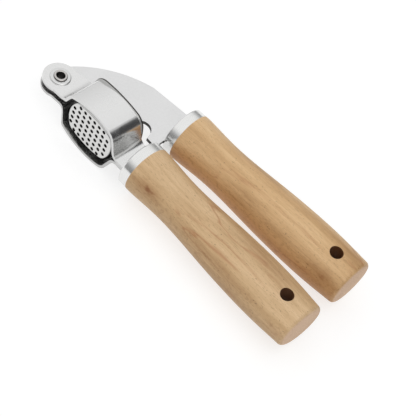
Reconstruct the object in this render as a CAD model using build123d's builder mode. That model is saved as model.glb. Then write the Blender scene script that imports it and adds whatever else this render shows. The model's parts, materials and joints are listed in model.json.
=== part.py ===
from build123d import *
from math import radians, tan
import os

# Garlic press, stored closed and lying on its side: +X runs from the pivot along the handles, +Y from the
# fixed lower handle to the lever's upper handle, +Z is the pivot axis. Millimetres.
# Measures below are taken from the pivot's centre. PIVOT puts that centre in the part's own frame, whose
# origin is the middle of the object's underside.
PIVOT = Vector(-80.856, -21.269, 15.6)
MID_PLANE = Plane(origin=PIVOT)

# Side plates: each is one strip, bent at these four corners (x, z)
SHEET = 1.5
EAR_OUTER = 3.0
FOLD = (11.3, EAR_OUTER)
CREST = (15.2, 11.4)
WALL_MIDDLE = (30.7, 15.3)
REAR_CORNER = (45.8, 12.8)
TANG_CORNER = (50.1, SHEET)
BEND_RADII = (4.0, 4.0, 7.0, 3.5)
# and its outline (x, y): a round ear, a short arm, then straight edges that the flange rests on
EAR_RADIUS = 8.8
EAR_TOP_ANGLE = 87
EAR_BOTTOM_ANGLE = -63
ARM_TOP = (10.1, 10.7)
ARM_BOTTOM = (11.3, -7.2)
PLATE_TOP = 9.4
PLATE_BOTTOM = -8.8
PLATE_TOP_START = 12.2
PLATE_BOTTOM_START = 15.0
ARM_ROUND = 3.0
RIVET_RADIUS = 2.7
FIT_GAP = 0.02

# Four-sided ovals: half length, half width, the corner where two bowed sides meet, and its rounding
CUP_OVAL = (14.9, 11.0, 11.4, 9.4, 5.0)
CUP_INSIDE_OVAL = (13.8, 9.9, 10.5, 8.4, 4.4)
FLANGE_OVAL = (18.2, 15.6, 15.4, 13.9, 7.5)
FOOT_OVAL = (12.5, 9.2, 9.2, 7.4, 4.0)

# Sieve cup
CUP_X = 31.0
CUP_WALL = 1.1
CUP_FLOOR = -7.6
CUP_BASE_ROUND = 1.0
FLANGE_X = 30.8
FLANGE_THICKNESS = 0.8
HOLES_X = 30.8
HOLE_PITCH = 3.35
HOLE_RADIUS = 1.0
HOLE_COLUMNS = 8
HOLE_ROWS = 6

# Pivot stack
RIVET_BORE = 2.1
RIVET_HEAD_RADIUS = 3.5
RIVET_HEAD_THICKNESS = 0.8
RIVET_LIP_ROUND = 0.55
WASHER_RADIUS = 5.3
WASHER_THICKNESS = 0.7
WASHER_ROUND = 0.5
SPACER_RADIUS = 6.6
SPACER_THICKNESS = 0.4
BUSH_RADIUS = 3.7
RUNNING_GAP = 0.05

# Lever blade: arched back (three points of its arc), belly, relief notch, heel and the tab for the foot
BLADE_THICKNESS = 2.0
BLADE_EYE_RADIUS = 7.8
BACK_ARC = ((-4.9, 7.0), (8.6, 25.1), (28.7, 37.2))
BLADE_SHOULDER = 8.55
NOTCH_ARC = ((48.9, 15.3), (44.3, 19.9), (39.4, 16.8))
BELLY = 12.4
BELLY_END = 38.9
BELLY_START = 11.1
THROAT = (6.7, -2.6)
HEEL_X = 49.6
HEEL_DROP = 18.72
FOOT_PIN_X = 31.2
FOOT_PIN_Y = 1.4
FOOT_PIN_RADIUS = 1.25
TAB_HALF_WIDTH = 5.0
TAB_SHOULDER = 6.8
TAB_END_RADIUS = 3.0

# Press foot, its yoke and their fasteners; heads are radius and thickness
FOOT_X = 31.0
FOOT_BOTTOM = -5.7
FOOT_THICKNESS = 1.6
FOOT_EDGE_ROUND = 0.5
YOKE_SHEET = 1.0
YOKE_HALF_LENGTH = 9.0
YOKE_CORNER_ROUND = 2.0
YOKE_EAR_RADIUS = 3.6
YOKE_EAR_HALF_BASE = 4.6
YOKE_INNER = 1.25
YOKE_GAP_HEIGHT = 20.0
FOOT_RIVET_SPACING = 13.0
FOOT_RIVET_RADIUS = 1.1
FOOT_RIVET_HEAD = (1.9, 0.8)
FOOT_PIN_HEAD = (2.0, 0.8)
FOOT_WASHER = (2.6, 0.5)
FOOT_WASHER_GAP = 0.1
HEAD_ROUND = 0.5

# Handles: an oval section, almost round at the ferrule and flatter at the far end
HANDLE_LENGTH = 107.4
HANDLE_RADII = (13.14, 12.43, 12.11, 12.77, 13.67, 14.32, 14.59, 14.28, 13.57)
FLATNESS_START = 0.95
FLATNESS_END = 0.82
HANDLE_END_ROUND = 2.2
LOWER_START = (62.9, 1.14)
LOWER_TILT = 1.17
UPPER_START = (59.66, 32.7)
UPPER_TILT = 4.54
FERRULE_LENGTH = 5.5
FERRULE_WALL = 0.8
FERRULE_ROUND = 0.9
TANG_HALF_HEIGHT = 6.0
TANG_LENGTH = 38.0
HANGING_HOLE_RADIUS = 3.5
HANGING_HOLE_FROM_END = 13.5
HANGING_HOLE_DROP = 0.8
TANG_RIVET_RADIUS = 1.5
TANG_RIVET_HEAD = (2.4, 1.0)
TANG_RIVET_SPACE = 3.0
TANG_RIVET_STATIONS = (12.0, 26.0)

FLANGE_TOP = PLATE_TOP + FLANGE_THICKNESS
EAR_INNER = EAR_OUTER - SHEET
WASHER_TOP = EAR_OUTER + WASHER_THICKNESS
FOOT_TOP = FOOT_BOTTOM + FOOT_THICKNESS
YOKE_OUTER = YOKE_INNER + YOKE_SHEET
HALF_DEPTH = FLANGE_OVAL[1]


def plan(height):
    """Plane across the cup's axis, seen from the lever side: local x is +X, local y is +Z."""
    return Plane(origin=PIVOT + Vector(0, height, 0), x_dir=(1, 0, 0), z_dir=(0, -1, 0))


def handle_plane(start, tilt, station):
    """Plane across a handle's axis, at a distance from the shoulder where its bare wood starts."""
    axis = Vector(1, 0, 0).rotate(Axis.Z, tilt)
    side = Vector(0, 1, 0).rotate(Axis.Z, tilt)
    origin = PIVOT + Vector(start[0], start[1], 0) + axis * station
    return Plane(origin=origin, x_dir=side, z_dir=axis)


def handle_point(start, tilt, station, height):
    """Point in the pivot's coordinates, along a handle's axis and then square to it."""
    along = Vector(station, height, 0).rotate(Axis.Z, tilt)
    return (start[0] + along.X, start[1] + along.Y)


def handle_section(station):
    """Half height and half thickness of a handle's oval, at a distance along its wood."""
    step = HANDLE_LENGTH / (len(HANDLE_RADII) - 1)
    radius = HANDLE_RADII[round(station / step)]
    flatness = FLATNESS_START + (FLATNESS_END - FLATNESS_START) * station / HANDLE_LENGTH
    return radius, radius * flatness


def tang_points(start, tilt):
    """The four corners of a tang, from the top of its neck round its tip to the bottom of its neck."""
    return [handle_point(start, tilt, -FERRULE_LENGTH, TANG_HALF_HEIGHT),
            handle_point(start, tilt, TANG_LENGTH, TANG_HALF_HEIGHT),
            handle_point(start, tilt, TANG_LENGTH, -TANG_HALF_HEIGHT),
            handle_point(start, tilt, -FERRULE_LENGTH, -TANG_HALF_HEIGHT)]


def plate_shoulder(height):
    """Point where a side plate's edge at this height meets the lower ferrule's front."""
    front = handle_point(LOWER_START, LOWER_TILT, -FERRULE_LENGTH, 0)
    return (front[0] - (height - front[1]) * tan(radians(LOWER_TILT)), height)


def oval(half_length, half_width, corner_x, corner_y, corner_round, shift):
    """Face of a four-sided oval: bowed sides and ends that meet in rounded corners."""
    with BuildSketch(mode=Mode.PRIVATE) as face:
        with BuildLine():
            ThreePointArc((-corner_x, corner_y), (0, half_width), (corner_x, corner_y))
            ThreePointArc((corner_x, corner_y), (half_length, 0), (corner_x, -corner_y))
            ThreePointArc((corner_x, -corner_y), (0, -half_width), (-corner_x, -corner_y))
            ThreePointArc((-corner_x, -corner_y), (-half_length, 0), (-corner_x, corner_y))
        make_face()
        fillet(face.vertices(), corner_round)
    return face.sketch.moved(Location((shift, 0)))


def side_plate(side):
    """Pivot ear, wrap around the cup and tang; side is 1 for the near plate and -1 for the far one."""
    ear_top = Vector(EAR_RADIUS, 0).rotate(Axis.Z, EAR_TOP_ANGLE)
    ear_bottom = Vector(EAR_RADIUS, 0).rotate(Axis.Z, EAR_BOTTOM_ANGLE)
    tang_end = LOWER_START[0] + TANG_LENGTH + SHEET
    with BuildPart() as plate:
        with BuildSketch(plan(ARM_TOP[1])):
            with BuildLine():
                with BuildLine() as strip:
                    Polyline((-EAR_RADIUS - SHEET, EAR_OUTER), FOLD, CREST)
                    ThreePointArc(CREST, WALL_MIDDLE, REAR_CORNER)
                    Polyline(REAR_CORNER, TANG_CORNER, (tang_end, SHEET))
                    for corner, radius in zip((FOLD, CREST, REAR_CORNER, TANG_CORNER), BEND_RADII):
                        fillet(strip.vertices().sort_by_distance(corner)[0], radius)
                offset(amount=SHEET, side=Side.RIGHT)
            make_face()
        extrude(amount=ARM_TOP[1] - PLATE_BOTTOM)
        with BuildSketch(MID_PLANE) as outline:
            with BuildLine():
                ThreePointArc(ear_bottom, (-EAR_RADIUS, 0), ear_top)
                Polyline(ear_top, ARM_TOP, (PLATE_TOP_START, PLATE_TOP), plate_shoulder(PLATE_TOP),
                         *tang_points(LOWER_START, LOWER_TILT), plate_shoulder(PLATE_BOTTOM),
                         (PLATE_BOTTOM_START, PLATE_BOTTOM), ARM_BOTTOM, ear_bottom)
            make_face()
            for corner in (ARM_BOTTOM, (PLATE_BOTTOM_START, PLATE_BOTTOM)):
                fillet(outline.vertices().sort_by_distance(corner)[0], ARM_ROUND)
        extrude(amount=HALF_DEPTH, mode=Mode.INTERSECT)
        with BuildSketch(MID_PLANE):
            Circle(RIVET_RADIUS + FIT_GAP)
            with Locations(*[handle_point(LOWER_START, LOWER_TILT, s, 0) for s in TANG_RIVET_STATIONS]):
                Circle(TANG_RIVET_RADIUS)
        extrude(amount=EAR_OUTER, mode=Mode.SUBTRACT)
        if side < 0:
            mirror(about=MID_PLANE, mode=Mode.REPLACE)
    return plate


def sieve_hole_centres():
    """Square lattice of hole centres, without its four corners."""
    last_column = HOLE_COLUMNS - 1
    last_row = HOLE_ROWS - 1
    return [(HOLES_X + (column - last_column / 2) * HOLE_PITCH, (row - last_row / 2) * HOLE_PITCH)
            for column in range(HOLE_COLUMNS) for row in range(HOLE_ROWS)
            if column not in (0, last_column) or row not in (0, last_row)]


def sieve_cup():
    """Drawn cup with a perforated floor and an out-turned rim that rests on the side plates."""
    depth = FLANGE_TOP - CUP_FLOOR
    with BuildPart() as cup:
        with BuildSketch(plan(FLANGE_TOP)):
            add(oval(*CUP_OVAL, CUP_X))
        extrude(amount=depth)
        fillet(cup.faces().sort_by(Axis.Y)[0].edges(), CUP_BASE_ROUND)
        with BuildSketch(plan(FLANGE_TOP)):
            add(oval(*FLANGE_OVAL, FLANGE_X))
        extrude(amount=FLANGE_THICKNESS)
        with BuildSketch(plan(FLANGE_TOP)):
            add(oval(*CUP_INSIDE_OVAL, CUP_X))
        extrude(amount=depth - CUP_WALL, mode=Mode.SUBTRACT)
        with BuildSketch(plan(CUP_FLOOR)):
            with Locations(*sieve_hole_centres()):
                Circle(HOLE_RADIUS)
        extrude(amount=-2 * CUP_WALL, mode=Mode.SUBTRACT)
    return cup


def pivot_rivet():
    """Hollow rivet, with a rolled head over each rivet washer."""
    head_top = WASHER_TOP + RIVET_HEAD_THICKNESS
    with BuildPart() as rivet:
        with BuildSketch(plan(0)) as section:
            with BuildLine():
                Polyline((RIVET_BORE, 0), (RIVET_BORE, head_top), (RIVET_HEAD_RADIUS, head_top),
                         (RIVET_HEAD_RADIUS, WASHER_TOP), (RIVET_RADIUS, WASHER_TOP),
                         (RIVET_RADIUS, 0), close=True)
            make_face()
            fillet(section.vertices().group_by(Axis.Y)[-1], RIVET_LIP_ROUND)
        revolve(axis=Axis(PIVOT, (0, 0, 1)))
        mirror(about=MID_PLANE)
    return rivet


def rivet_washer(side):
    """Dished ring between an ear and a head of the pivot rivet."""
    with BuildPart() as washer:
        with BuildSketch(MID_PLANE.offset(side * EAR_OUTER)):
            Circle(WASHER_RADIUS)
            Circle(RIVET_RADIUS + FIT_GAP, mode=Mode.SUBTRACT)
        extrude(amount=side * WASHER_THICKNESS)
        rim = washer.edges().filter_by(GeomType.CIRCLE).group_by(SortBy.RADIUS)[-1]
        fillet(rim.sort_by(Axis.Z)[-1 if side > 0 else 0], WASHER_ROUND)
    return washer


def pivot_spacer(side):
    """Thin disc that centres the lever blade between the ears."""
    with BuildPart() as spacer:
        with BuildSketch(MID_PLANE.offset(side * EAR_INNER)):
            Circle(SPACER_RADIUS)
            Circle(RIVET_RADIUS + FIT_GAP, mode=Mode.SUBTRACT)
        extrude(amount=-side * SPACER_THICKNESS)
    return spacer


def pivot_bush():
    """Sleeve on the rivet, clamped between the spacers, that the lever blade turns on."""
    with BuildPart() as bush:
        with BuildSketch(MID_PLANE):
            Circle(BUSH_RADIUS)
            Circle(RIVET_RADIUS + FIT_GAP, mode=Mode.SUBTRACT)
        extrude(amount=EAR_INNER - SPACER_THICKNESS, both=True)
    return bush


def ferrule(start, tilt, slot):
    """Drawn collar over the front of a handle, with a slot for the tang in its front wall."""
    radius, thickness = handle_section(0)
    front = handle_plane(start, tilt, -FERRULE_LENGTH)
    with BuildPart() as collar:
        with BuildSketch(front):
            Ellipse(radius, thickness)
        extrude(amount=FERRULE_LENGTH)
        fillet(collar.faces().sort_by(Axis.X)[0].edges(), FERRULE_ROUND)
        with BuildSketch(handle_plane(start, tilt, 0)):
            Ellipse(radius - FERRULE_WALL, thickness - FERRULE_WALL)
        extrude(amount=FERRULE_WALL - FERRULE_LENGTH, mode=Mode.SUBTRACT)
        with BuildSketch(front):
            Rectangle(2 * TANG_HALF_HEIGHT, slot)
        extrude(amount=FERRULE_LENGTH, mode=Mode.SUBTRACT)
    return collar


def handle(start, tilt, slot, rivet_stations=()):
    """Turned wooden handle, with a spigot inside its ferrule, a tang slot and a hanging hole."""
    spigot = FERRULE_LENGTH - FERRULE_WALL
    with BuildPart() as grip:
        step = HANDLE_LENGTH / (len(HANDLE_RADII) - 1)
        for number in range(len(HANDLE_RADII)):
            with BuildSketch(handle_plane(start, tilt, number * step)):
                Ellipse(*handle_section(number * step))
        loft()
        fillet(grip.faces().sort_by(Axis.X)[-1].edges(), HANDLE_END_ROUND)
        radius, thickness = handle_section(0)
        with BuildSketch(handle_plane(start, tilt, 0)):
            Ellipse(radius - FERRULE_WALL, thickness - FERRULE_WALL)
        extrude(amount=-spigot)
        with BuildSketch(handle_plane(start, tilt, -spigot)):
            Rectangle(2 * TANG_HALF_HEIGHT, slot)
        extrude(amount=spigot + TANG_LENGTH, mode=Mode.SUBTRACT)
        hole = handle_point(start, tilt, HANDLE_LENGTH - HANGING_HOLE_FROM_END, -HANGING_HOLE_DROP)
        with BuildSketch(MID_PLANE):
            with Locations(hole):
                Circle(HANGING_HOLE_RADIUS)
        extrude(amount=HALF_DEPTH, both=True, mode=Mode.SUBTRACT)
        for station in rivet_stations:
            with BuildSketch(MID_PLANE):
                with Locations(handle_point(start, tilt, station, 0)):
                    Circle(TANG_RIVET_SPACE)
            extrude(amount=EAR_OUTER, both=True, mode=Mode.SUBTRACT)
    return grip


def tang_rivets():
    """The two rivets that hold the side plates' tangs together inside the lower handle."""
    head_radius, head_thickness = TANG_RIVET_HEAD
    with BuildPart() as rivets:
        for station in TANG_RIVET_STATIONS:
            centre = handle_point(LOWER_START, LOWER_TILT, station, 0)
            with BuildSketch(MID_PLANE):
                with Locations(centre):
                    Circle(TANG_RIVET_RADIUS)
            extrude(amount=SHEET, both=True)
            for side in (-1, 1):
                with BuildSketch(MID_PLANE.offset(side * SHEET)):
                    with Locations(centre):
                        Circle(head_radius)
                extrude(amount=side * head_thickness)
    return rivets


def lever_blade():
    """Flat blade: pivot eye, arched back, tab for the press foot, relief notch, heel and tang."""
    shoulder = handle_point(UPPER_START, UPPER_TILT, -FERRULE_LENGTH, BLADE_SHOULDER)
    heel_back = handle_point(UPPER_START, UPPER_TILT, -FERRULE_LENGTH, -HEEL_DROP)
    tab_left = FOOT_PIN_X - TAB_HALF_WIDTH
    tab_right = FOOT_PIN_X + TAB_HALF_WIDTH
    end_left = (FOOT_PIN_X - TAB_END_RADIUS, FOOT_PIN_Y)
    end_right = (FOOT_PIN_X + TAB_END_RADIUS, FOOT_PIN_Y)
    with BuildPart() as blade:
        with BuildSketch(MID_PLANE):
            with BuildLine():
                ThreePointArc(*BACK_ARC)
                Polyline(BACK_ARC[-1], shoulder, *tang_points(UPPER_START, UPPER_TILT), heel_back,
                         (HEEL_X, heel_back[1]), NOTCH_ARC[0])
                ThreePointArc(*NOTCH_ARC)
                Polyline(NOTCH_ARC[-1], (BELLY_END, BELLY), (tab_right, BELLY), (tab_right, TAB_SHOULDER),
                         end_right)
                ThreePointArc(end_right, (FOOT_PIN_X, FOOT_PIN_Y - TAB_END_RADIUS), end_left)
                Polyline(end_left, (tab_left, TAB_SHOULDER), (tab_left, BELLY), (BELLY_START, BELLY),
                         THROAT, BACK_ARC[0])
            make_face()
            Circle(BLADE_EYE_RADIUS)
            Circle(BUSH_RADIUS + RUNNING_GAP, mode=Mode.SUBTRACT)
            with Locations((FOOT_PIN_X, FOOT_PIN_Y)):
                Circle(FOOT_PIN_RADIUS, mode=Mode.SUBTRACT)
        extrude(amount=BLADE_THICKNESS / 2, both=True)
    return blade


def press_foot():
    """Oval plate that pushes the garlic through the sieve."""
    with BuildPart() as foot:
        with BuildSketch(plan(FOOT_TOP)):
            add(oval(*FOOT_OVAL, FOOT_X))
            with Locations((FOOT_X, 0)):
                with GridLocations(FOOT_RIVET_SPACING, 1, 2, 1):
                    Circle(FOOT_RIVET_RADIUS, mode=Mode.SUBTRACT)
        extrude(amount=FOOT_THICKNESS)
        fillet(foot.faces().sort_by(Axis.Y)[-1].outer_wire().edges(), FOOT_EDGE_ROUND)
    return foot


def foot_yoke():
    """Folded saddle on the press foot, with an ear on each side of the blade's tab."""
    ear_left = (FOOT_PIN_X - YOKE_EAR_RADIUS, FOOT_PIN_Y)
    ear_right = (FOOT_PIN_X + YOKE_EAR_RADIUS, FOOT_PIN_Y)
    with BuildPart() as yoke:
        with BuildSketch(plan(FOOT_TOP + YOKE_SHEET)):
            with Locations((FOOT_X, 0)):
                RectangleRounded(2 * YOKE_HALF_LENGTH, 2 * YOKE_OUTER, YOKE_CORNER_ROUND)
                with GridLocations(FOOT_RIVET_SPACING, 1, 2, 1):
                    Circle(FOOT_RIVET_RADIUS, mode=Mode.SUBTRACT)
        extrude(amount=YOKE_SHEET)
        with BuildSketch(MID_PLANE):
            with BuildLine():
                Polyline(ear_right, (FOOT_PIN_X + YOKE_EAR_HALF_BASE, FOOT_TOP),
                         (FOOT_PIN_X - YOKE_EAR_HALF_BASE, FOOT_TOP), ear_left)
                ThreePointArc(ear_left, (FOOT_PIN_X, FOOT_PIN_Y + YOKE_EAR_RADIUS), ear_right)
            make_face()
        extrude(amount=YOKE_OUTER, both=True)
        with BuildSketch(MID_PLANE):
            with Locations((FOOT_PIN_X, FOOT_TOP + YOKE_SHEET + YOKE_GAP_HEIGHT / 2)):
                Rectangle(YOKE_GAP_HEIGHT, YOKE_GAP_HEIGHT)
        extrude(amount=YOKE_INNER, both=True, mode=Mode.SUBTRACT)
        with BuildSketch(MID_PLANE):
            with Locations((FOOT_PIN_X, FOOT_PIN_Y)):
                Circle(FOOT_PIN_RADIUS + RUNNING_GAP)
        extrude(amount=YOKE_OUTER, both=True, mode=Mode.SUBTRACT)
    return yoke


def foot_rivets():
    """The two rivets that hold the yoke on the press foot."""
    top = FOOT_TOP + YOKE_SHEET
    head_radius, head_thickness = FOOT_RIVET_HEAD
    with BuildPart() as rivets:
        with BuildSketch(plan(top)):
            with Locations((FOOT_X, 0)):
                with GridLocations(FOOT_RIVET_SPACING, 1, 2, 1):
                    Circle(FOOT_RIVET_RADIUS)
        extrude(amount=top - FOOT_BOTTOM)
        with BuildSketch(plan(top)):
            with Locations((FOOT_X, 0)):
                with GridLocations(FOOT_RIVET_SPACING, 1, 2, 1):
                    Circle(head_radius)
        extrude(amount=-head_thickness)
        fillet(rivets.faces().sort_by(Axis.Y)[-2:].edges(), HEAD_ROUND)
    return rivets


def foot_pin():
    """Pin that the press foot swings on, fixed in the blade's tab and headed at both ends."""
    head_radius, head_thickness = FOOT_PIN_HEAD
    stack = YOKE_OUTER + FOOT_WASHER_GAP + FOOT_WASHER[1]
    with BuildPart() as pin:
        with BuildSketch(MID_PLANE):
            with Locations((FOOT_PIN_X, FOOT_PIN_Y)):
                Circle(FOOT_PIN_RADIUS)
        extrude(amount=stack, both=True)
        for side in (-1, 1):
            with BuildSketch(MID_PLANE.offset(side * stack)):
                with Locations((FOOT_PIN_X, FOOT_PIN_Y)):
                    Circle(head_radius)
            extrude(amount=side * head_thickness)
        ends = pin.faces().filter_by(Axis.Z).group_by(Axis.Z)
        fillet(ends[0].edges() + ends[-1].edges(), HEAD_ROUND)
    return pin


def foot_washers():
    """A washer under each head of the foot's pin."""
    radius, thickness = FOOT_WASHER
    with BuildPart() as washers:
        for side in (-1, 1):
            with BuildSketch(MID_PLANE.offset(side * (YOKE_OUTER + FOOT_WASHER_GAP))):
                with Locations((FOOT_PIN_X, FOOT_PIN_Y)):
                    Circle(radius)
                    Circle(FOOT_PIN_RADIUS, mode=Mode.SUBTRACT)
            extrude(amount=side * thickness)
    return washers


def write(piece, name):
    """Label a finished piece and write its STEP file."""
    piece.part.label = name
    export_step(piece.part, f"parts/{name}.step")


os.makedirs("parts", exist_ok=True)
write(side_plate(1), "near_side_plate")
write(side_plate(-1), "far_side_plate")
write(sieve_cup(), "sieve_cup")
write(pivot_rivet(), "pivot_rivet")
write(rivet_washer(1), "rivet_washer_near")
write(rivet_washer(-1), "rivet_washer_far")
write(pivot_spacer(1), "pivot_spacer_near")
write(pivot_spacer(-1), "pivot_spacer_far")
write(pivot_bush(), "pivot_bush")
write(tang_rivets(), "tang_rivets")
write(ferrule(LOWER_START, LOWER_TILT, 2 * SHEET), "lower_ferrule")
write(handle(LOWER_START, LOWER_TILT, 2 * SHEET, TANG_RIVET_STATIONS), "lower_handle")
write(lever_blade(), "lever_blade")
write(ferrule(UPPER_START, UPPER_TILT, BLADE_THICKNESS), "upper_ferrule")
write(handle(UPPER_START, UPPER_TILT, BLADE_THICKNESS), "upper_handle")
write(foot_pin(), "foot_pin")
write(foot_washers(), "foot_washers")
write(press_foot(), "press_foot")
write(foot_yoke(), "foot_yoke")
write(foot_rivets(), "foot_rivets")
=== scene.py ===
"""Garlic press: materials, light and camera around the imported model. Metres, in the model's own frame."""
import json
import math

import bpy
from mathutils import Matrix, Vector

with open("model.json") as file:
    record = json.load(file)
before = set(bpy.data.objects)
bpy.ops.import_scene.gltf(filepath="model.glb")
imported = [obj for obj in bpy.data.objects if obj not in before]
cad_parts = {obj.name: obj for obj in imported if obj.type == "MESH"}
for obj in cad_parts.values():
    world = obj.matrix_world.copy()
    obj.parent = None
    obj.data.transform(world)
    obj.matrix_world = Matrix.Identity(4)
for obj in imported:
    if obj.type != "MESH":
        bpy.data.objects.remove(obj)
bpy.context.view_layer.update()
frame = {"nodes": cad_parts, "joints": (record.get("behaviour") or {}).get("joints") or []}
MM = 0.001

# The two handles' axes: where the bare wood starts, and how far the handle leans from +X
HANDLE_LENGTH = 107.4 * MM
PIVOT = Vector(next(j["pos_m"] for j in frame["joints"] if j["name"] == "lever_pivot"))
LOWER_START = PIVOT + Vector((62.9, 1.14, 0)) * MM
LOWER_TILT = math.radians(1.17)
UPPER_START = PIVOT + Vector((59.66, 32.7, 0)) * MM
UPPER_TILT = math.radians(4.54)

# The hanging hole in each handle: back from the wood's end, sideways from the handle's axis, and its radius
HANGING_HOLE_BACK = 13.5 * MM
HANGING_HOLE_SIDE = -0.8 * MM
HANGING_HOLE_RADIUS = 3.5 * MM

# Camera: where it looks, from which side, and how far it is rolled
CAMERA_AIM = Vector((12.47, -4.15, 8.12)) * MM
CAMERA_AZIMUTH = math.radians(27.73)
CAMERA_ELEVATION = math.radians(51.45)
CAMERA_ROLL = math.radians(24.05)
CAMERA_DISTANCE = 1.0405
CAMERA_LENS = 188.75

# The part's own measures in millimetres from the pivot, for masks
PLATE_TOP = 9.4
FLANGE_TOP = 10.2
CUP_FLOOR = -7.6
CUP_WALL = 1.1
HOLES_X = 30.8
HOLE_PITCH = 3.35
HOLE_RADIUS = 1.0
HOLE_COLUMNS = 8
HOLE_ROWS = 6
FOOT_BOTTOM = -5.7
RIVET_BORE = 2.1
RIVET_RIM = 3.1

# How strongly a side plate's edges are darkened, partly for their sheared finish and partly as painted shade:
# on the far plate, then on the near one
PLATE_EDGE_SHADE = (0.36, 0.14)

# Steel grain: noise scales along X, Y and Z
ACROSS = (1900, 1900, 110)
EVEN_GRAIN = (900, 900, 900)
TURNED = (2600, 160, 160)

# Wood colours as 0-255 screen values, from dark to light grain, and where each stands in the grain's range
LOWER_TONES = ((184, 146, 104), (207, 173, 130), (221, 188, 146), (236, 207, 168))
UPPER_TONES = ((182, 141, 95), (210, 171, 123), (224, 187, 140), (237, 205, 161))
TONE_STOPS = (0.38, 0.47, 0.54, 0.64)
END_TONES = ((0.30, (196, 158, 126)), (0.50, (216, 182, 150)), (0.72, (230, 199, 168)))
# Painted shade laid over each handle's flank that faces the floor, lower handle then upper
LOWER_FLANK_SHADE = (190, 178, 160)
UPPER_FLANK_SHADE = (204, 172, 128)
PORE_COLOUR = (135, 98, 62)
SPECK_COLOUR = (92, 62, 38)
VEIN_COLOUR = (170, 108, 66)
KNOT_HALO = (172, 128, 84)
KNOT_HEART = (138, 82, 48)
FRECKLE_COLOUR = (130, 82, 42)
# Painted shade on the walls of the hanging hole
HANGING_HOLE_SHADE = (98, 56, 30)

# Which way the flank of a handle faces that gets painted shade: the one facing down, towards the floor
SHADED_FLANK = (0, -0.81, -0.58)

# Studio: the dome's grey levels by height, the floor, the dark panel, the dimmed and the lifted side, the key
SKY = ((0.0, 0.30), (0.25, 0.42), (0.50, 0.88), (0.70, 1.0))
WORLD_STRENGTH = 1.0
FLOOR_SHADES = (0.36, 0.38)
FLOOR_GLOW = 0.70
PANEL_AZIMUTH = math.radians(40)
PANEL_HEIGHTS = (0.04, 0.16, 0.76, 0.84)
PANEL_EDGE = (0.43, 0.56)
CAMERA_SIDE = (0.45, -0.89, 0)
CAMERA_SIDE_DIM = 0.7
LEFT_EDGE = (-0.75, -0.40)
LEFT_LIFT = 0.75
KEY_PLACE = (0.55, -0.15, 1.2)
KEY_SIZE = 1.0
KEY_POWER = 3.2


def is_socket(value):
    return isinstance(value, bpy.types.NodeSocket)


class Graph:
    """Adds shader nodes to a tree: an input is a number, a colour or another node's output."""

    def __init__(self, tree):
        self.tree = tree
        tree.nodes.clear()

    def put(self, socket, value):
        if is_socket(value):
            self.tree.links.new(value, socket)
        else:
            socket.default_value = value

    def add(self, kind, inputs=None, **settings):
        node = self.tree.nodes.new(kind)
        for name, value in settings.items():
            setattr(node, name, value)
        for name, value in (inputs or {}).items():
            self.put(node.inputs[name], value)
        return node

    def coordinates(self, kind):
        """Texture coordinates: Object, Normal or Generated."""
        return self.add("ShaderNodeTexCoord").outputs[kind]

    def math(self, operation, first, second=0.0, clamp=False):
        node = self.add("ShaderNodeMath", {0: first, 1: second}, operation=operation, use_clamp=clamp)
        return node.outputs[0]

    def radius(self, first, second):
        """Distance from zero in the plane of two axes."""
        squares = self.math("ADD", self.math("POWER", first, 2.0), self.math("POWER", second, 2.0))
        return self.math("SQRT", squares)

    def vector_math(self, operation, first, second=(0, 0, 0)):
        return self.add("ShaderNodeVectorMath", {0: first, 1: tuple(second)}, operation=operation)

    def dot(self, vector, direction):
        return self.vector_math("DOT_PRODUCT", vector, direction).outputs["Value"]

    def split(self, vector):
        """X, Y and Z of a vector."""
        return self.add("ShaderNodeSeparateXYZ", {0: vector}).outputs

    def scaled(self, vector, scale, offset=(0, 0, 0), angle=0.0):
        """Vector moved by -offset, turned by -angle about Z and then stretched by scale."""
        moved = self.vector_math("SUBTRACT", vector, offset).outputs[0]
        turned = self.add("ShaderNodeVectorRotate", {"Vector": moved, "Angle": -angle},
                          rotation_type="Z_AXIS").outputs[0]
        return self.vector_math("MULTIPLY", turned, scale).outputs[0]

    def ramp(self, factor, stops):
        """Colour ramp over factor; stops are (position, colour)."""
        node = self.add("ShaderNodeValToRGB", {"Fac": factor})
        elements = node.color_ramp.elements
        while len(elements) < len(stops):
            elements.new(0.5)
        for element, (position, colour) in zip(elements, stops):
            element.position = position
            element.color = (*colour, 1.0)
        return node.outputs["Color"]

    def fade(self, value, low, high, to_low=0.0, to_high=1.0):
        """Value from low to high becomes to_low to to_high, clamped."""
        node = self.add("ShaderNodeMapRange", {"Value": value, "From Min": low, "From Max": high,
                                               "To Min": to_low, "To Max": to_high})
        return node.outputs["Result"]

    def above(self, value, limit, soft):
        """1 where value is above limit, with a soft edge."""
        return self.fade(value, limit - soft, limit + soft)

    def below(self, value, limit, soft):
        """1 where value is below limit, with a soft edge."""
        return self.fade(value, limit - soft, limit + soft, 1.0, 0.0)

    def between(self, value, low, high, soft=0.04):
        """1 where value lies between low and high, with soft ends."""
        return self.math("MULTIPLY", self.above(value, low, soft), self.below(value, high, soft))

    def noise(self, vector, scale, detail=3.0, roughness=0.5, distortion=0.0):
        node = self.add("ShaderNodeTexNoise", {"Vector": vector, "Scale": scale, "Detail": detail,
                                               "Roughness": roughness, "Distortion": distortion})
        return node.outputs["Fac"]

    def grain(self, vector, stretch, shift=(0, 0, 0), **settings):
        """Noise with its own scale along each axis, read from a place moved by -shift."""
        return self.noise(self.scaled(vector, stretch, shift), 1.0, **settings)

    def mix(self, factor, first, second, blend="MIX"):
        node = self.add("ShaderNodeMix", data_type="RGBA", blend_type=blend)
        for socket, value in ((node.inputs[0], factor), (node.inputs[6], first), (node.inputs[7], second)):
            self.put(socket, value)
        return node.outputs[2]

    def tint(self, colour, mask, strength, screen, blend="MIX"):
        """Colour with a screen colour laid over it, as strongly as mask times strength."""
        return self.mix(self.math("MULTIPLY", mask, strength), colour, (*srgb(*screen), 1), blend)


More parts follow.
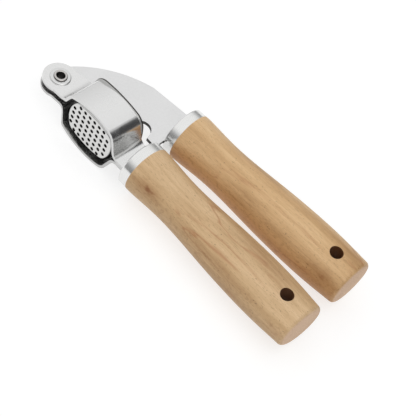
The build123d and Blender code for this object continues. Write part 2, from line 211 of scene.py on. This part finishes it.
def srgb(red, green, blue):
    """Linear colour from 0-255 screen values."""
    def linear(value):
        value /= 255.0
        return value / 12.92 if value <= 0.04045 else ((value + 0.055) / 1.055) ** 2.4
    return (linear(red), linear(green), linear(blue))


def new_material(name):
    material = bpy.data.materials.new(name)
    material.use_nodes = True
    return material, Graph(material.node_tree)


def finish_material(graph, shader_inputs, height, bump_strength, bump_distance):
    """Principled shader with a bump from height."""
    bump = graph.add("ShaderNodeBump", {"Strength": bump_strength, "Distance": bump_distance,
                                        "Height": height})
    shader = graph.add("ShaderNodeBsdfPrincipled", {**shader_inputs, "Normal": bump.outputs["Normal"]})
    graph.add("ShaderNodeOutputMaterial", {"Surface": shader.outputs[0]})


def from_pivot(g):
    """Millimetres from the pivot along X, Y and Z, for masks that follow the part's own dimensions."""
    moved = g.vector_math("SUBTRACT", g.coordinates("Object"), PIVOT).outputs[0]
    return g.split(g.vector_math("MULTIPLY", moved, (1 / MM, 1 / MM, 1 / MM)).outputs[0])


def facing(g, axis):
    """Size of the object normal's part along an axis."""
    return g.math("ABSOLUTE", g.split(g.coordinates("Normal"))[axis])


# ---------------------------------------------------------------- steel

def steel_base(g, tone, roughness, grain_scale, smudge):
    """Colour, roughness and bump height of stainless steel: fine rolling grain, faint smudges, tiny pits."""
    place = g.coordinates("Object")
    grain = g.grain(place, grain_scale, detail=4.0, roughness=0.65)
    cloud = g.noise(place, 90.0, roughness=0.6)
    pits = g.noise(place, 2600.0, detail=1.0)
    clouded = g.mix(cloud, (*[c * 0.95 for c in tone], 1), (*tone, 1))
    streaked = g.mix(g.fade(grain, 0.35, 0.65, 0.0, 0.35), clouded, (*[c * 0.88 for c in tone], 1))
    rough = g.math("ADD", g.fade(cloud, 0.3, 0.7, roughness - smudge, roughness + smudge),
                   g.fade(grain, 0.3, 0.7, -0.04, 0.04))
    height = g.math("ADD", g.math("MULTIPLY", grain, 0.7), g.math("MULTIPLY", pits, 0.3))
    return streaked, rough, height


def steel(name, tone, roughness, grain_scale, grain_strength, smudge=0.06, dark=None):
    """Stainless steel; dark(g) is a mask of surface that is painted dark and made duller: painted shade in
    bores, holes and on undersides, and edges whose darkness is partly their sheared finish and partly painted
    shade.
    """
    material, g = new_material(name)
    colour, rough, height = steel_base(g, tone, roughness, grain_scale, smudge)
    if dark:
        mask = dark(g)
        # painted shade: near-black colour laid where dark(g) marks shade and sheared edges
        mottle = g.noise(g.coordinates("Object"), 900.0)
        shade_and_sheared_edge_colour = g.mix(mottle, (0.035, 0.032, 0.030, 1), (0.085, 0.080, 0.075, 1))
        colour = g.mix(mask, colour, shade_and_sheared_edge_colour)
        rough = g.math("ADD", rough, g.math("MULTIPLY", mask, 0.22))
    finish_material(g, {"Base Color": colour, "Metallic": 1.0, "Roughness": rough},
                    height, grain_strength, 0.02 * MM)
    return material


def hole_lattice(g, across, along):
    """1 on the lattice of sieve holes, 0 beyond it and in its four corners, which have no hole."""
    across, along = g.math("ABSOLUTE", across), g.math("ABSOLUTE", along)
    half_across, half_along = HOLE_COLUMNS / 2 * HOLE_PITCH, HOLE_ROWS / 2 * HOLE_PITCH
    lattice = g.math("MULTIPLY", g.below(across, half_across, 0.1), g.below(along, half_along, 0.1))
    corner = g.math("MULTIPLY", g.above(across, half_across - HOLE_PITCH, 0.05),
                    g.above(along, half_along - HOLE_PITCH, 0.05))
    return g.math("SUBTRACT", lattice, corner, clamp=True)


def sieve_rim_and_hole_shade(g):
    """Rim edge of the cup's flange and walls of the sieve's holes, painted dark: painted shade for the shadow
    line under the flange and for the shade inside the holes; the rim's added roughness is its sheared edge.
    """
    x, y, z = from_pivot(g)
    rim = g.math("MULTIPLY", g.between(y, PLATE_TOP - 0.1, FLANGE_TOP - 0.06),
                 g.fade(facing(g, 1), 0.35, 0.75, 1.0, 0.0))
    across = g.math("SUBTRACT", x, HOLES_X)
    column = g.math("SUBTRACT", g.math("FRACT", g.math("DIVIDE", across, HOLE_PITCH)), 0.5)
    row = g.math("SUBTRACT", g.math("FRACT", g.math("DIVIDE", z, HOLE_PITCH)), 0.5)
    reach = g.math("MULTIPLY", g.radius(column, row), HOLE_PITCH)
    near_hole = g.math("MULTIPLY", g.below(reach, HOLE_RADIUS + 0.045, 0.015), hole_lattice(g, across, z))
    walls = g.math("MULTIPLY", near_hole, g.between(y, CUP_FLOOR + 0.06, CUP_FLOOR + CUP_WALL + 0.2))
    return g.math("MAXIMUM", rim, walls)


def foot_underside_shade(g):
    """Underside of the press foot, painted dark as the shade inside the cup."""
    return g.below(from_pivot(g)[1], FOOT_BOTTOM + 0.3, 0.1)


def blade_edge_shade(g):
    """Cut edges of the blade, painted almost black as painted shade, partly also their sheared finish."""
    return g.fade(facing(g, 2), 0.3, 0.7, 0.92, 0.0)


def plate_edge_shade(g):
    """Top and bottom edges of a side plate, darker and duller than its faces: partly their sheared finish,
    partly painted shade, most on the far plate.
    """
    strength = g.fade(from_pivot(g)[2], -3.0, 3.0, *PLATE_EDGE_SHADE)
    return g.math("MULTIPLY", g.fade(facing(g, 1), 0.85, 0.97), strength)


def rivet_bore_and_rim_shade(g):
    """Bore of the pivot's rivet and the side of its rim, painted dark as the shade in the bore and under the
    rim.
    """
    x, y, _ = from_pivot(g)
    reach = g.radius(x, y)
    bore = g.below(reach, RIVET_BORE + 0.15, 0.1)
    side = g.math("MULTIPLY", g.fade(facing(g, 2), 0.45, 0.8, 0.85, 0.0), g.above(reach, RIVET_RIM, 0.1))
    return g.math("MAXIMUM", bore, side)


# ---------------------------------------------------------------- wood

def veined(g, colour, along, seed):
    """Thin reddish veins, in patches."""
    vein = g.grain(along, (16, 105, 105), (seed, seed, 2.0), detail=2.0, distortion=0.4)
    line = g.fade(g.math("ABSOLUTE", g.math("SUBTRACT", vein, 0.5)), 0.0, 0.03, 1.0, 0.0)
    patch = g.fade(g.grain(along, (26, 60, 60), (2.0, seed, 0), detail=2.0), 0.47, 0.60)
    return g.tint(colour, g.math("MULTIPLY", line, patch), 0.55, VEIN_COLOUR)


def knotted(g, colour, along, knot):
    """One small knot, drawn out along the grain; knot is its place in millimetres from the wood's start."""
    spot = g.scaled(along, (0.55, 1.0, 1.0), [v * MM for v in knot])
    wobble = g.math("MULTIPLY", g.math("SUBTRACT", g.noise(along, 260.0, detail=2.0), 0.5), 4 * MM)
    off = g.math("ADD", g.vector_math("LENGTH", spot).outputs["Value"], wobble)
    colour = g.tint(colour, g.fade(off, 1.0 * MM, 5.5 * MM, 1.0, 0.0), 0.5, KNOT_HALO)
    return g.tint(colour, g.fade(off, 0.3 * MM, 1.6 * MM, 1.0, 0.0), 0.75, KNOT_HEART)


def hanging_bore(g, along):
    """1 on the walls of the hanging hole."""
    x, y, _ = g.split(along)
    reach = g.radius(g.math("SUBTRACT", x, HANDLE_LENGTH - HANGING_HOLE_BACK),
                     g.math("SUBTRACT", y, HANGING_HOLE_SIDE))
    walls = g.fade(facing(g, 2), 0.25, 0.55, 1.0, 0.0)
    return g.math("MULTIPLY", g.fade(reach, HANGING_HOLE_RADIUS + 0.05 * MM, HANGING_HOLE_RADIUS + 0.12 * MM,
                                     1.0, 0.0), walls)


def wood(name, start, tilt, seed, tones, flank_shade, flank_shade_strength, knot):
    """Light sealed beech: lengthwise grain, faint broad figure, pores, specks, veins and a knot."""
    material, g = new_material(name)
    along = g.scaled(g.coordinates("Object"), (1, 1, 1), start, tilt)
    normal = g.coordinates("Normal")

    broad = g.grain(along, (11, 62, 62), (seed, seed, 0))
    figure = g.grain(along, (9, 190, 190), (seed, 0, 0), roughness=0.6)
    streak = g.grain(along, (24, 620, 620), (0, seed, seed), roughness=0.65)
    fibre = g.grain(along, (90, 2300, 2300), (seed, 0, seed), detail=4.0, roughness=0.75)
    tone = g.math("MULTIPLY", broad, 0.52)
    for layer in (figure, streak, fibre):
        tone = g.math("ADD", tone, g.math("MULTIPLY", layer, 0.16))
    colour = g.ramp(tone, [(stop, srgb(*screen)) for stop, screen in zip(TONE_STOPS, tones)])

    pores = g.fade(g.grain(along, (420, 3600, 3600), (seed, seed, seed), detail=1.0), 0.62, 0.71)
    specks = g.fade(g.grain(along, (700, 1300, 1300), (seed, seed, 1.0), detail=1.0), 0.72, 0.76)
    colour = g.tint(colour, pores, 0.40, PORE_COLOUR)
    colour = g.tint(colour, specks, 0.55, SPECK_COLOUR)
    colour = veined(g, colour, along, seed)
    colour = knotted(g, colour, along, knot)

    # the handle's end shows paler end grain
    end_grain = g.fade(g.dot(normal, (math.cos(tilt), math.sin(tilt), 0)), 0.70, 0.94)
    dots = g.grain(along, (300, 1700, 1700), (seed, 0, 0))
    end_tone = g.math("ADD", g.math("MULTIPLY", broad, 0.35), g.math("MULTIPLY", dots, 0.65))
    colour = g.mix(end_grain, colour, g.ramp(end_tone, [(stop, srgb(*screen)) for stop, screen in END_TONES]))

    # painted shade: the flank that faces down, towards the floor, is darkened and greyed, a little unevenly;
    # it also carries dark freckles
    side = g.dot(normal, SHADED_FLANK)
    painted_flank_shade = g.math("MULTIPLY", g.fade(side, 0.15, 0.95), g.fade(broad, 0.3, 0.7, 0.75, 1.0))
    colour = g.tint(colour, painted_flank_shade, flank_shade_strength, flank_shade, blend="MULTIPLY")
    freckle = g.grain(along, (520, 800, 800), (seed, 1.0, seed), detail=2.0)
    freckles = g.math("MULTIPLY", g.fade(freckle, 0.55, 0.66), g.fade(side, 0.0, 0.6))
    colour = g.tint(colour, freckles, 0.25, FRECKLE_COLOUR)
    # painted shade: the walls of the hanging hole are darkened as the shade inside the hole
    colour = g.tint(colour, hanging_bore(g, along), 0.88, HANGING_HOLE_SHADE)

    rough = g.math("ADD", g.fade(fibre, 0.3, 0.7, 0.42, 0.52), g.math("MULTIPLY", end_grain, 0.15))
    height = g.math("SUBTRACT", g.math("MULTIPLY", fibre, 0.5), g.math("MULTIPLY", pores, 0.8))
    finish_material(g, {"Base Color": colour, "Roughness": rough, "Specular IOR Level": 0.35},
                    height, 0.3, 0.05 * MM)
    return material


# ---------------------------------------------------------------- studio

def plain_floor():
    """White sweep that glows a little, as a light table does, so the press throws only a faint shadow."""
    material, g = new_material("floor")
    dark, light = [(grey, grey, grey) for grey in FLOOR_SHADES]
    shade = g.ramp(g.noise(g.coordinates("Object"), 30.0), [(0.3, dark), (0.7, light)])
    shader = g.add("ShaderNodeBsdfPrincipled",
                   {"Base Color": shade, "Roughness": 0.9, "Specular IOR Level": 0.1,
                    "Emission Color": (1, 1, 1, 1), "Emission Strength": FLOOR_GLOW})
    g.add("ShaderNodeOutputMaterial", {"Surface": shader.outputs[0]})
    bpy.ops.mesh.primitive_plane_add(size=6.0)
    floor = bpy.context.object
    floor.name = "floor"
    floor.data.materials.append(material)


def studio_world():
    """Soft white dome, dim low down and on the camera's side, bright on the left, with one dark panel."""
    world = bpy.data.worlds.new("studio")
    world.use_nodes = True
    bpy.context.scene.world = world
    g = Graph(world.node_tree)
    direction = g.coordinates("Generated")
    sideways, _, height = g.split(direction)
    colour = g.ramp(height, [(stop, (grey, grey, grey)) for stop, grey in SKY])

    dim = g.math("MULTIPLY", g.fade(g.dot(direction, CAMERA_SIDE), 0.1, 0.9),
                 g.fade(height, 0.45, 0.75, 1.0, 0.0))
    colour = g.mix(g.math("MULTIPLY", dim, CAMERA_SIDE_DIM), colour, (0.2, 0.2, 0.2, 1))

    left = g.math("MULTIPLY", g.fade(sideways, *LEFT_EDGE, 1.0, 0.0), g.fade(height, 0.0, 0.1))
    colour = g.mix(g.math("MULTIPLY", left, LEFT_LIFT), colour, (0.95, 0.95, 0.95, 1))

    # the panel stands beyond the handles' ends
    rise, full, fall, gone = PANEL_HEIGHTS
    toward = g.dot(direction, (math.cos(PANEL_AZIMUTH), math.sin(PANEL_AZIMUTH), 0))
    panel = g.math("MULTIPLY", g.fade(height, rise, full), g.fade(height, fall, gone, 1.0, 0.0))
    panel = g.math("MULTIPLY", panel, g.fade(toward, *PANEL_EDGE))
    colour = g.mix(panel, colour, (0.06, 0.06, 0.062, 1))

    background = g.add("ShaderNodeBackground", {"Color": colour, "Strength": WORLD_STRENGTH})
    g.add("ShaderNodeOutputWorld", {"Surface": background.outputs[0]})


def key_light():
    """Large soft lamp above, to the right, aimed at the middle of the press."""
    light = bpy.data.lights.new("key", "AREA")
    light.shape = "SQUARE"
    light.size = KEY_SIZE
    light.energy = KEY_POWER
    lamp = bpy.data.objects.new("key", light)
    lamp.location = KEY_PLACE
    lamp.rotation_euler = (-Vector(KEY_PLACE)).to_track_quat("-Z", "Y").to_euler()
    bpy.context.scene.collection.objects.link(lamp)


def place_camera():
    """Camera at CAMERA_DISTANCE from CAMERA_AIM, rolled about its own line of sight."""
    back = Vector((math.sin(CAMERA_AZIMUTH) * math.cos(CAMERA_ELEVATION),
                   -math.cos(CAMERA_AZIMUTH) * math.cos(CAMERA_ELEVATION), math.sin(CAMERA_ELEVATION)))
    level = Vector((math.cos(CAMERA_AZIMUTH), math.sin(CAMERA_AZIMUTH), 0))
    right = Matrix.Rotation(CAMERA_ROLL, 3, back) @ level
    up = back.cross(right)
    data = bpy.data.cameras.new("camera")
    data.lens = CAMERA_LENS
    data.sensor_width = 36.0
    data.clip_start = 0.05
    data.clip_end = 20.0
    camera = bpy.data.objects.new("camera", data)
    turn = Matrix((right, up, back)).transposed().to_4x4()
    camera.matrix_world = Matrix.Translation(CAMERA_AIM + back * CAMERA_DISTANCE) @ turn
    bpy.context.scene.collection.objects.link(camera)
    bpy.context.scene.camera = camera


# ---------------------------------------------------------------- the press

def dress(nodes, material):
    """Gives CAD nodes a better material in their own slots."""
    for name in nodes:
        for slot in frame["nodes"][name].material_slots:
            slot.material = material


def soften(nodes, width):
    """Small rounded edges, as deburred sheet has."""
    for name in nodes:
        bevel = frame["nodes"][name].modifiers.new("deburred", "BEVEL")
        bevel.width = width
        bevel.segments = 2
        bevel.limit_method = "ANGLE"
        bevel.angle_limit = math.radians(50)


dress(["near_side_plate", "far_side_plate"],
      steel("pressed_steel_look", (0.78, 0.78, 0.775), 0.24, ACROSS, 0.12, dark=plate_edge_shade))
dress(["sieve_cup"], steel("sieve_steel_look", (0.71, 0.71, 0.70), 0.32, EVEN_GRAIN, 0.15, dark=sieve_rim_and_hole_shade))
dress(["press_foot"], steel("foot_steel_look", (0.74, 0.74, 0.73), 0.34, EVEN_GRAIN, 0.2, dark=foot_underside_shade))
dress(["lever_blade"],
      steel("blade_steel_look", (0.80, 0.80, 0.80), 0.40, EVEN_GRAIN, 0.15, dark=blade_edge_shade))
dress(["foot_yoke"], steel("yoke_steel_look", (0.76, 0.76, 0.76), 0.36, EVEN_GRAIN, 0.3))
dress(["rivet_washer_near", "rivet_washer_far"],
      steel("washer_steel_look", (0.74, 0.74, 0.735), 0.30, EVEN_GRAIN, 0.2))
dress(["pivot_rivet"],
      steel("rivet_steel_look", (0.58, 0.56, 0.54), 0.28, EVEN_GRAIN, 0.2, dark=rivet_bore_and_rim_shade))
dress(["pivot_bush", "pivot_spacer_near", "pivot_spacer_far", "tang_rivets", "foot_pin", "foot_washers",
       "foot_rivets"], steel("fastener_steel_look", (0.66, 0.65, 0.63), 0.28, EVEN_GRAIN, 0.2))
dress(["lower_ferrule", "upper_ferrule"],
      steel("ferrule_steel_look", (0.82, 0.82, 0.81), 0.20, TURNED, 0.15, smudge=0.04))
dress(["lower_handle"],
      wood("lower_wood", LOWER_START, LOWER_TILT, 3.1, LOWER_TONES, LOWER_FLANK_SHADE, 0.7, (11.5, -11.0, 5.5)))
dress(["upper_handle"],
      wood("upper_wood", UPPER_START, UPPER_TILT, 7.7, UPPER_TONES, UPPER_FLANK_SHADE, 0.75, (97.0, -12.0, 5.0)))

soften(["near_side_plate", "far_side_plate"], 0.3 * MM)
soften(["lever_blade"], 0.2 * MM)

plain_floor()
studio_world()
key_light()
place_camera()
bpy.context.scene.view_settings.view_transform = "Standard"
